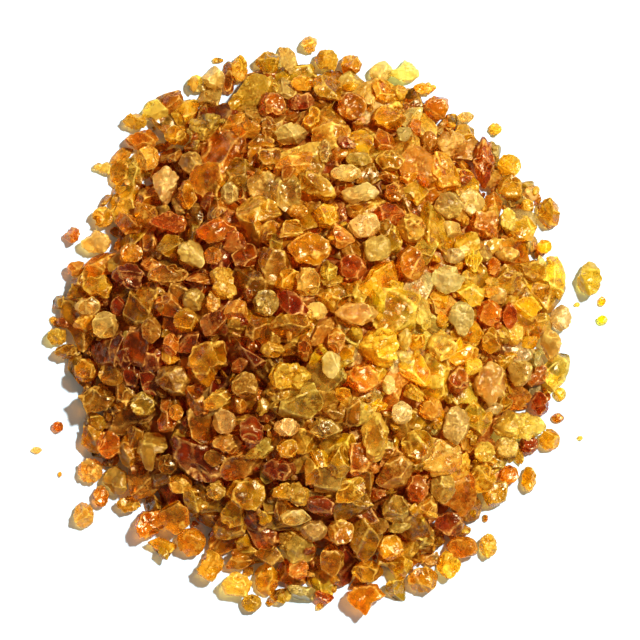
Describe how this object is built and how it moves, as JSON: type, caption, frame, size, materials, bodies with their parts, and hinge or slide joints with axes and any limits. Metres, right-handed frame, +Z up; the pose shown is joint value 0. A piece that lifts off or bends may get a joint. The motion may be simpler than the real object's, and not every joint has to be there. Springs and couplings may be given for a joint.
{
  "type": "crushed rosin heap",
  "caption": "Low heap of loose crushed amber rosin: large broken granules lying on a rounded mound of small ones, with one granule apart from it.",
  "frame": {"origin": "middle of the heap's box, on the surface it stands on", "axes": "+Z up, +Y towards the rear of the heap (its longest side), +X to its right"},
  "size_m": [0.112, 0.117, 0.0267],
  "materials": {
    "pale": "frosted pale resin with dusty edges",
    "straw": "translucent straw-yellow resin, satin",
    "yellow": "clear bright yellow resin, glossy fractures",
    "golden": "translucent golden resin, glossy fractures",
    "tan": "dusty tan resin, frosted",
    "amber": "clear golden-orange resin, glossy",
    "orange": "clear orange resin, glossy",
    "red_brown": "deep red-brown resin, glossy",
    "dark_red": "dark red resin, glossy",
    "brown": "dark honey resin, satin",
    "smoky": "greyish striated resin, satin",
    "mixed": "mixed amber granules, satin and glossy"
  },
  "bodies": {
    "root": {"small_granule_bed": "mixed", "left_tip_granule": "straw", "left_pale_granule": "pale", "left_golden_granule": "golden", "left_brown_granule": "brown", "rear_left_orange_granule": "orange", "rear_left_yellow_granule": "golden", "rear_left_pale_granule": "pale", "rear_amber_granule": "amber", "rear_golden_granule": "golden", "rear_golden_round_granule": "golden", "rear_pale_crystal": "pale", "rear_right_orange_granule": "orange", "red_brown_shard": "red_brown", "right_pale_granule": "pale", "right_tan_granule": "tan", "right_dark_red_granule": "dark_red", "broad_straw_granule": "straw", "front_right_amber_granule": "amber", "front_right_orange_granule": "orange", "front_orange_granule": "orange", "front_straw_granule": "straw", "front_golden_granule": "golden", "front_left_orange_granule": "orange", "front_left_tan_granule": "tan", "tan_cap_granule": "tan", "wide_red_brown_granule": "red_brown", "long_golden_granule": "golden", "dented_golden_granule": "golden", "large_tan_granule": "tan", "glossy_red_granule": "orange", "dark_red_granule": "dark_red", "brown_window_granule": "brown", "hooked_amber_granule": "amber", "deep_orange_granule": "orange", "yellow_cluster_granule": "yellow", "yellow_crust_granule": "yellow"},
    "left_orange_granule": {"left_orange_granule": "orange"},
    "rear_straw_round_granule": {"rear_straw_round_granule": "straw"},
    "right_amber_granule": {"right_amber_granule": "amber"},
    "front_left_straw_granule": {"front_left_straw_granule": "straw"},
    "tan_shard": {"tan_shard": "pale"},
    "pale_lens_granule": {"pale_lens_granule": "pale"},
    "round_orange_granule": {"round_orange_granule": "amber"},
    "golden_lens_granule": {"golden_lens_granule": "golden"},
    "pale_kidney_granule": {"pale_kidney_granule": "pale"},
    "straw_wedge_granule": {"straw_wedge_granule": "straw"},
    "round_tan_granule": {"round_tan_granule": "tan"},
    "pale_oval_granule": {"pale_oval_granule": "pale"},
    "large_golden_granule": {"large_golden_granule": "golden"},
    "pink_slab_granule": {"pink_slab_granule": "tan"},
    "pale_block_granule": {"pale_block_granule": "pale"},
    "large_pink_tan_granule": {"large_pink_tan_granule": "tan"},
    "striated_smoky_granule": {"striated_smoky_granule": "smoky"},
    "straw_block_granule": {"straw_block_granule": "straw"},
    "notched_kidney_granule": {"notched_kidney_granule": "tan"},
    "broad_golden_granule": {"broad_golden_granule": "golden"},
    "long_golden_sliver": {"long_golden_sliver": "golden"},
    "stray_granule": {"stray_granule": "golden"}
  },
  "joints": [
    {"name": "lift_left_orange_granule", "type": "slide", "parent": "root", "child": "left_orange_granule", "axis": [0, 0, 1], "range_m": [0, 0.03]},
    {"name": "lift_rear_straw_round_granule", "type": "slide", "parent": "root", "child": "rear_straw_round_granule", "axis": [0, 0, 1], "range_m": [0, 0.03]},
    {"name": "lift_right_amber_granule", "type": "slide", "parent": "root", "child": "right_amber_granule", "axis": [0, 0, 1], "range_m": [0, 0.03]},
    {"name": "lift_front_left_straw_granule", "type": "slide", "parent": "root", "child": "front_left_straw_granule", "axis": [0, 0, 1], "range_m": [0, 0.03]},
    {"name": "lift_tan_shard", "type": "slide", "parent": "root", "child": "tan_shard", "axis": [0, 0, 1], "range_m": [0, 0.03]},
    {"name": "lift_pale_lens_granule", "type": "slide", "parent": "root", "child": "pale_lens_granule", "axis": [0, 0, 1], "range_m": [0, 0.03]},
    {"name": "lift_round_orange_granule", "type": "slide", "parent": "root", "child": "round_orange_granule", "axis": [0, 0, 1], "range_m": [0, 0.03]},
    {"name": "lift_golden_lens_granule", "type": "slide", "parent": "root", "child": "golden_lens_granule", "axis": [0, 0, 1], "range_m": [0, 0.03]},
    {"name": "lift_pale_kidney_granule", "type": "slide", "parent": "root", "child": "pale_kidney_granule", "axis": [0, 0, 1], "range_m": [0, 0.03]},
    {"name": "lift_straw_wedge_granule", "type": "slide", "parent": "root", "child": "straw_wedge_granule", "axis": [0, 0, 1], "range_m": [0, 0.03]},
    {"name": "lift_round_tan_granule", "type": "slide", "parent": "root", "child": "round_tan_granule", "axis": [0, 0, 1], "range_m": [0, 0.03]},
    {"name": "lift_pale_oval_granule", "type": "slide", "parent": "root", "child": "pale_oval_granule", "axis": [0, 0, 1], "range_m": [0, 0.03]},
    {"name": "lift_large_golden_granule", "type": "slide", "parent": "root", "child": "large_golden_granule", "axis": [0, 0, 1], "range_m": [0, 0.03]},
    {"name": "lift_pink_slab_granule", "type": "slide", "parent": "root", "child": "pink_slab_granule", "axis": [0, 0, 1], "range_m": [0, 0.03]},
    {"name": "lift_pale_block_granule", "type": "slide", "parent": "root", "child": "pale_block_granule", "axis": [0, 0, 1], "range_m": [0, 0.03]},
    {"name": "lift_large_pink_tan_granule", "type": "slide", "parent": "root", "child": "large_pink_tan_granule", "axis": [0, 0, 1], "range_m": [0, 0.03]},
    {"name": "lift_striated_smoky_granule", "type": "slide", "parent": "root", "child": "striated_smoky_granule", "axis": [0, 0, 1], "range_m": [0, 0.03]},
    {"name": "lift_straw_block_granule", "type": "slide", "parent": "root", "child": "straw_block_granule", "axis": [0, 0, 1], "range_m": [0, 0.03]},
    {"name": "lift_notched_kidney_granule", "type": "slide", "parent": "root", "child": "notched_kidney_granule", "axis": [0, 0, 1], "range_m": [0, 0.03]},
    {"name": "lift_broad_golden_granule", "type": "slide", "parent": "root", "child": "broad_golden_granule", "axis": [0, 0, 1], "range_m": [0, 0.03]},
    {"name": "lift_long_golden_sliver", "type": "slide", "parent": "root", "child": "long_golden_sliver", "axis": [0, 0, 1], "range_m": [0, 0.03]},
    {"name": "lift_stray_granule", "type": "slide", "parent": "root", "child": "stray_granule", "axis": [0, 0, 1], "range_m": [0, 0.03]}
  ]
}
